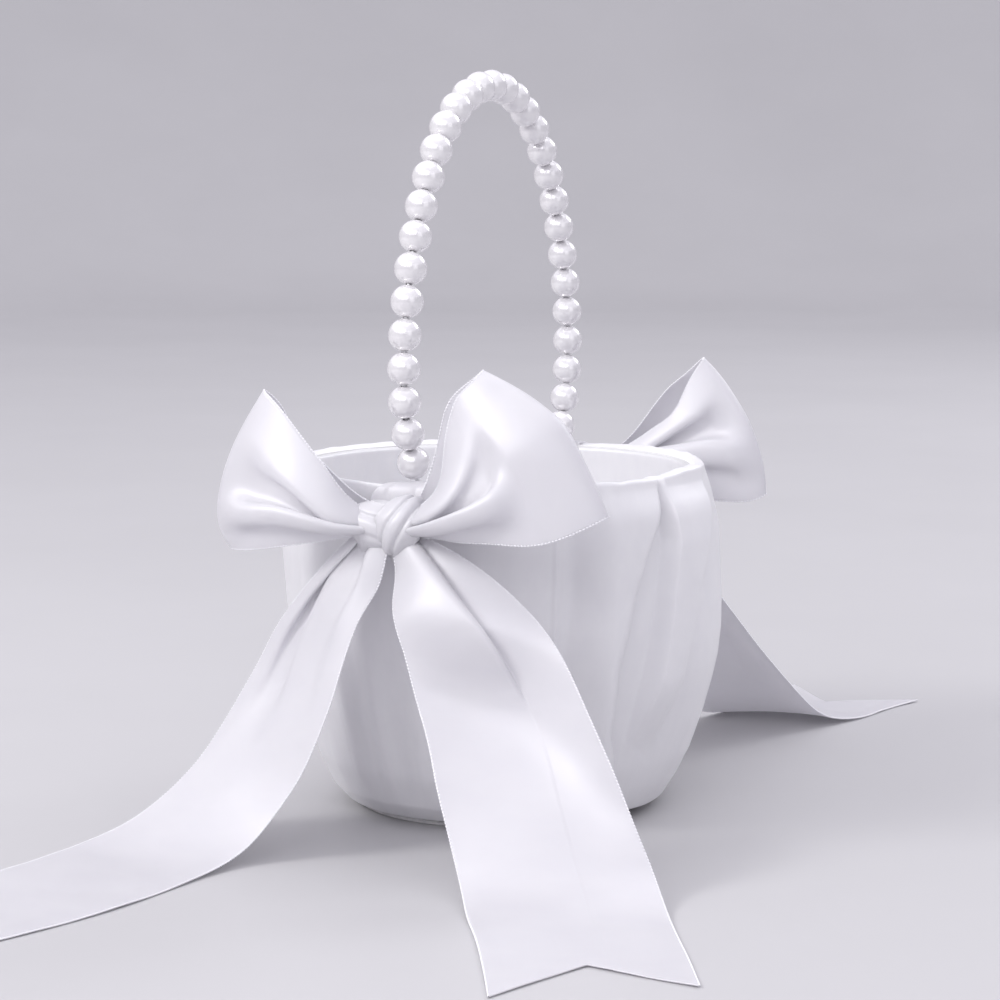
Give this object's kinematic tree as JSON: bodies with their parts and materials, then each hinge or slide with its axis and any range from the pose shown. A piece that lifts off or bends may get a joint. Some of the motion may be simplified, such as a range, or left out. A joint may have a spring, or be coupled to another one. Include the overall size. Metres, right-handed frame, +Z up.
{
  "type": "flower girl basket",
  "caption": "Small round satin-covered flower girl basket with an arched pearl bead handle and a large ribbon bow with long tails at each side.",
  "frame": {"origin": "centre of the basket's underside, on the surface it stands on", "axes": "+Z up; the handle arches over the basket in the YZ plane, the front bow is on -Y and the back bow on +Y"},
  "size_m": [0.2432, 0.4425, 0.2352],
  "materials": {
    "satin_cover": "satin",
    "lining_satin": "satin",
    "ribbon_satin": "satin",
    "base_board": "satin",
    "moulded_cup": "matte",
    "pearl": "pearlescent gloss",
    "handle_steel": "drawn wire",
    "eyelet_metal": "polished"
  },
  "bodies": {
    "basket": {"base_disc": "base_board", "cup_shell": "moulded_cup", "satin_cover": "satin_cover", "satin_lining": "lining_satin", "floor_pad": "lining_satin", "eyelet_front": "eyelet_metal", "eyelet_back": "eyelet_metal", "front_saddle": "ribbon_satin", "front_knot": "ribbon_satin", "front_loop_left": "ribbon_satin", "front_loop_right": "ribbon_satin", "front_tail_left": "ribbon_satin", "front_tail_right": "ribbon_satin", "back_saddle": "ribbon_satin", "back_knot": "ribbon_satin", "back_loop_left": "ribbon_satin", "back_loop_right": "ribbon_satin", "back_tail_left": "ribbon_satin", "back_tail_right": "ribbon_satin"},
    "handle": {"handle_wire": "handle_steel", "end_cap_front": "eyelet_metal", "end_cap_back": "eyelet_metal", "pearl_01": "pearl", "pearl_02": "pearl", "pearl_03": "pearl", "pearl_04": "pearl", "pearl_05": "pearl", "pearl_06": "pearl", "pearl_07": "pearl", "pearl_08": "pearl", "pearl_09": "pearl", "pearl_10": "pearl", "pearl_11": "pearl", "pearl_12": "pearl", "pearl_13": "pearl", "pearl_14": "pearl", "pearl_15": "pearl", "pearl_16": "pearl", "pearl_17": "pearl", "pearl_18": "pearl", "pearl_19": "pearl", "pearl_20": "pearl", "pearl_21": "pearl", "pearl_22": "pearl", "pearl_23": "pearl", "pearl_24": "pearl", "pearl_25": "pearl", "pearl_26": "pearl", "pearl_27": "pearl", "pearl_28": "pearl", "pearl_29": "pearl", "pearl_30": "pearl", "pearl_31": "pearl"}
  },
  "joints": [
    {"name": "handle_tilt", "type": "hinge", "parent": "basket", "child": "handle", "pos_m": [0, 0, 0.0995], "axis": [0, 1, 0], "range_deg": [-12, 12]}
  ]
}
